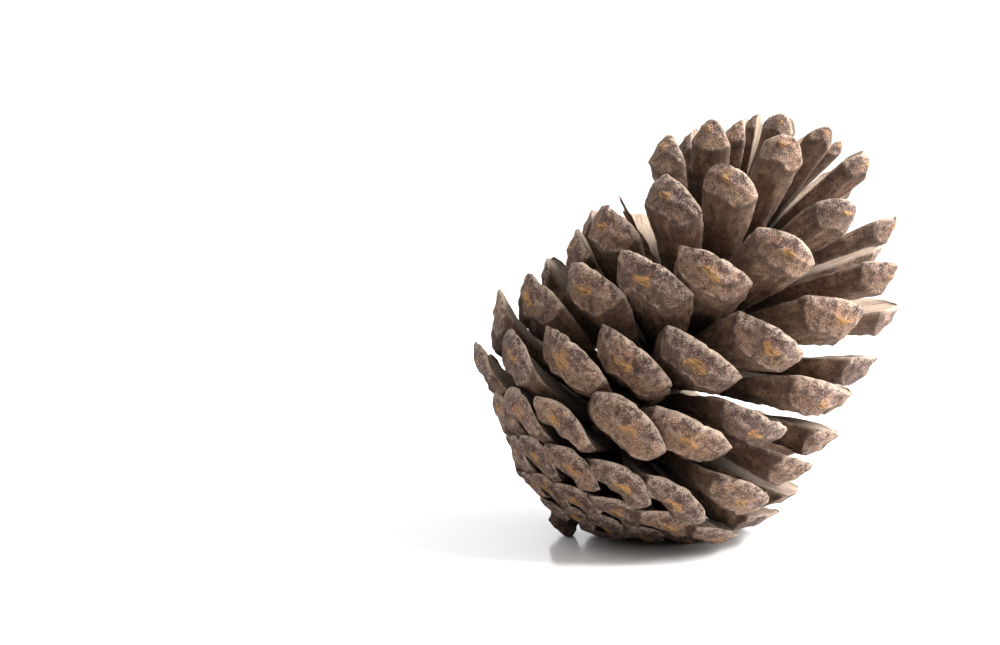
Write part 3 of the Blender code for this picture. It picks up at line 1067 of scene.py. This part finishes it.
@dataclass
class Cone:
    """All the pieces of the cone, made from one spiral and one scale form.

    The stalk's rows are x, y, height and radius in mm, from its broken end up to the axis.
    """

    spiral: Spiral
    form: ScaleForm
    wood: bpy.types.Material
    core: bpy.types.Material
    torn: bpy.types.Material
    stalk_sides: int = 40
    axis_rings: int = 60
    stalk_rings: int = 26
    stalk_rows: tuple[tuple[float, ...], ...] = (
        (1.5, 0.0, -4.0, 1.75), (1.4, 0.1, -2.6, 2.15), (0.6, 0.0, -0.4, 2.1), (0.0, 0.0, 2.0, 2.5))
    fibre_rings: int = 40
    fibre_sides: int = 16
    fibres: tuple[Fibre, ...] = (
        Fibre(0.86, 1.4, 0.80, 0.8), Fibre(0.77, 2.4, 0.70, 0.9), Fibre(0.68, 0.6, 0.70, 0.3))

    def build(self) -> None:
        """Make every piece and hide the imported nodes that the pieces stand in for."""
        self.open_scales()
        self.grown_scales()
        self.axis_and_stalk()
        self.splinter()

    def open_scales(self) -> None:
        """The big open scales, one piece each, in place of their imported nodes."""
        for place, n in enumerate(self.spiral.open_numbers, 1):
            surface = self.form.surface(self.spiral.seat(n, Stand.OPEN.root_gap), self.spiral, Stand.OPEN)
            made = surface.to_object(f"open_scale_{place:02d}", self.wood)
            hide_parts(f"scale_{place:02d}")

    def grown_scales(self) -> None:
        """The tight basal scales in three pieces, and the apical tuft in one."""
        basal = list(range(self.spiral.first_basal, self.spiral.first_open))
        third = (len(basal) + 2) // 3
        groups = {f"basal_scales_{k}": basal[(k - 1) * third:k * third] for k in (1, 2, 3)}
        groups["apical_scales"] = list(range(self.spiral.last_open + 1, self.spiral.last_apical + 1))
        for name, numbers in groups.items():
            seats = [self.spiral.seat(n, Stand.GROWN.root_gap) for n in numbers]
            parts = [self.form.surface(seat, self.spiral, Stand.GROWN) for seat in seats]
            made = Surface.joined(parts).to_object(name, self.wood)
            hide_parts("core")

    def tube(self, centres: Array, radii: Array, seed: int, rough: float) -> Surface:
        """A closed tube of level rings through centres, its wall roughened.

        Args:
            centres: (rows, 3) ring centres in mm.
            radii: ring radii in mm.
            seed: picks the relief.
            rough: relief height in mm.
        Returns:
            The surface: centre + (radius + relief) * (cos, sin, 0) for each turn.
        """
        turns = np.linspace(0, 2 * math.pi, self.stalk_sides, endpoint=False)[None, :]
        ring = np.stack([np.cos(turns), -np.sin(turns), 0 * turns], -1)
        base = centres[:, None, :] + radii[:, None, None] * ring
        relief = rough * (ripple(base, 1.8, seed) + 0.6 * ripple(base * np.array([1, 1, 0.3]), 0.7, seed + 1))
        points = base + relief[..., None] * ring
        quads, tris = tube_faces(len(centres), self.stalk_sides)
        points = np.concatenate([points.reshape(-1, 3), centres[:1], centres[-1:]])
        return Surface(self.spiral.place(points), quads, tris, {})

    def axis_and_stalk(self) -> None:
        """The bent axis inside the scales, and the broken stalk stub under them."""
        axis_rows = self.spiral.axis_rows
        heights = np.linspace(axis_rows[0, 0], axis_rows[-1, 0], self.axis_rings)
        centres = np.array([self.spiral.axis_centre(h) for h in heights])
        radii = np.interp(heights, axis_rows[:, 0], axis_rows[:, 1])
        axis = self.tube(centres, radii, 31, 0.12).to_object("axis", self.core)
        t = np.linspace(0, 1, self.stalk_rings)
        rows = np.array(self.stalk_rows)
        path = np.stack([np.interp(t, np.linspace(0, 1, len(rows)), rows[:, k]) for k in range(4)], -1)
        stalk = self.tube(path[:, :3], path[:, 3], 57, 0.26).to_object("stalk_stub", self.core)
        for made in (axis, stalk):
            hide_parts("core")

    def fibre(self, torn: Fibre, seat: Seat, order: int) -> Surface:
        """One torn fibre: a flattened tube that tapers as (1 - t ^ 2.2) ^ 0.8, bends as t ^ 2 and waves.

        Args:
            torn: its sizes.
            seat: the seat of the lost scale.
            order: its place among the fibres, which picks its waves.
        Returns:
            The surface.
        """
        t = np.linspace(0, 1, self.fibre_rings)[:, None]
        turn = np.linspace(0, 2 * math.pi, self.fibre_sides, endpoint=False)[None, :]
        wide = torn.half * (1 - t ** 2.2) ** 0.8 + 0.04
        s = torn.reach * seat.length * t + 0 * turn
        u = torn.side * t + torn.curl * t ** 2 + wide * np.cos(turn)
        v = -0.35 + 0.85 * wide * np.sin(turn) + 0.35 * np.sin(5 * t + 2 * order) - 0.9 * (order - 1) * t
        local = np.stack([s, u, v], -1)
        rough = np.stack([ripple(local, 1.4, 70 + order), ripple(local, 1.1, 80 + order)], -1)
        local[..., 1:] += 0.10 * rough
        quads, tris = tube_faces(len(t), turn.shape[1])
        points = np.concatenate([local.reshape(-1, 3), local[0].mean(0)[None], local[-1].mean(0)[None]])
        return Surface(self.spiral.place(seat.root + points @ seat.frame.T), quads, tris, {})

    def splinter(self) -> None:
        """What is left of the lost scale: a few torn fibres side by side."""
        seat = self.spiral.seat(self.spiral.broken, Stand.GROWN.root_gap)
        parts = [self.fibre(torn, seat, order) for order, torn in enumerate(self.fibres)]
        made = Surface.joined(parts).to_object("splinter", self.torn)
        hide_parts("core")


# ---------------------------------------------------------------------------------------------------
# Studio
# ---------------------------------------------------------------------------------------------------


@dataclass
class Studio:
    """White table, soft light and the camera."""

    elevation: float = math.radians(8.0)
    eye: tuple[float, float, float] = (-0.0093, -0.3677, 0.0757)
    lens: float = 99.9
    room_low: float = 0.16
    room_high: float = 1.05
    room_back: float = 1.15

    def build(self, low: Array, high: Array, foot: Array) -> None:
        """Set the floor, the lights and the camera round the object's box.

        Args:
            low: the box's lowest corner.
            high: its highest corner.
            foot: the foot of the cone's axis, which the camera stands off from.
        """
        centre = (low + high) / 2
        self.floor()
        self.light("key", centre + np.array([0.30, -0.06, 0.33]), centre, 0.22, 10.2)
        self.light("right", centre + np.array([0.42, 0.02, 0.10]), centre, 0.20, 2.6)
        self.light("left", centre + np.array([-0.30, 0.10, 0.30]), centre, 0.20, 0.6)
        self.world()
        self.camera(foot + np.array(self.eye))
        bpy.context.scene.view_settings.view_transform = "Standard"

    def floor(self) -> None:
        """A large square table top at height 0."""
        points = np.array([(-3, -3, 0), (3, -3, 0), (3, 3, 0), (-3, 3, 0)], float)
        mesh = bpy.data.meshes.new("table_top")
        mesh.from_pydata(points.tolist(), [], [(0, 1, 2, 3)])
        mesh.materials.append(FloorFinish().build())
        made = bpy.data.objects.new("table_top", mesh)
        bpy.context.scene.collection.objects.link(made)
        made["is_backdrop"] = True

    def light(self, name: str, place: Array, aim: Array, size: float, power: float) -> None:
        """One square soft light.

        Args:
            name: its name.
            place: where it stands.
            aim: the point it faces.
            size: side of the square, in metres.
            power: watts.
        """
        data = bpy.data.lights.new(name, "AREA")
        data.energy, data.size = power, size
        made = bpy.data.objects.new(name, data)
        bpy.context.scene.collection.objects.link(made)
        made.location = place
        made.rotation_mode = "QUATERNION"
        made.rotation_quaternion = towards(aim - place)

    def world(self) -> None:
        """A white room: dim below the eye, bright overhead and at the back wall."""
        world = bpy.data.worlds.new("white_room")
        world.use_nodes = True
        tree = world.node_tree
        aim = tree.nodes.new("ShaderNodeTexCoord")
        split = tree.nodes.new("ShaderNodeSeparateXYZ")
        tree.links.new(aim.outputs["Generated"], split.inputs[0])
        parts = []
        overhead = (2, 0.0, 0.9, self.room_high - self.room_low)
        back_wall = (1, 0.35, 0.95, self.room_back)
        for output, low, high, strength in (overhead, back_wall):
            ramp = tree.nodes.new("ShaderNodeMapRange")
            ramp.interpolation_type = "SMOOTHSTEP"
            tree.links.new(split.outputs[output], ramp.inputs["Value"])
            for key, number in (("From Min", low), ("From Max", high), ("To Min", 0.0), ("To Max", strength)):
                ramp.inputs[key].default_value = number
            parts.append(ramp.outputs[0])
        both = tree.nodes.new("ShaderNodeMath")
        tree.links.new(parts[0], both.inputs[0])
        tree.links.new(parts[1], both.inputs[1])
        total = tree.nodes.new("ShaderNodeMath")
        tree.links.new(both.outputs[0], total.inputs[0])
        total.inputs[1].default_value = self.room_low
        shade = tree.nodes["Background"]
        shade.inputs[0].default_value = (1.0, 1.0, 1.0, 1.0)
        tree.links.new(total.outputs[0], shade.inputs[1])
        bpy.context.scene.world = world

    def camera(self, place: Array) -> None:
        """A long lens, looking straight ahead and a little down.

        Args:
            place: where it stands.
        """
        data = bpy.data.cameras.new("camera")
        data.lens, data.sensor_width = self.lens, 36.0
        data.clip_start, data.clip_end = 0.01, 20.0
        made = bpy.data.objects.new("camera", data)
        bpy.context.scene.collection.objects.link(made)
        made.location = place
        made.rotation_mode = "QUATERNION"
        ahead = np.array([0.0, math.cos(self.elevation), -math.sin(self.elevation)])
        made.rotation_quaternion = towards(ahead)
        bpy.context.scene.camera = made


def towards(direction: Array) -> Quaternion:
    """The rotation that turns -Z to a direction, with Y up."""
    return Vector(tuple(direction)).to_track_quat("-Z", "Y")


def main() -> None:
    """Build the cone over its frame, then the studio, and note the boxes."""
    logging.basicConfig(level=logging.INFO, format="%(name)s: %(message)s", stream=sys.stdout)
    packed = [list(corner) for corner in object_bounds()]
    spiral = Spiral()
    spiral.settle(frame["nodes"])
    torn = CoreFinish("torn_fibre", (0.110, 0.058, 0.038), (0.270, 0.155, 0.100), (0.420, 0.290, 0.210))
    cone = Cone(spiral, ScaleForm(), ScaleFinish().build(), CoreFinish().build(), torn.build())
    cone.build()
    Studio().build(np.array(packed[0]), np.array(packed[1]), spiral.shift * MM)
    LOG.info("packed box %s", packed)


if __name__ == "__main__":
    main()
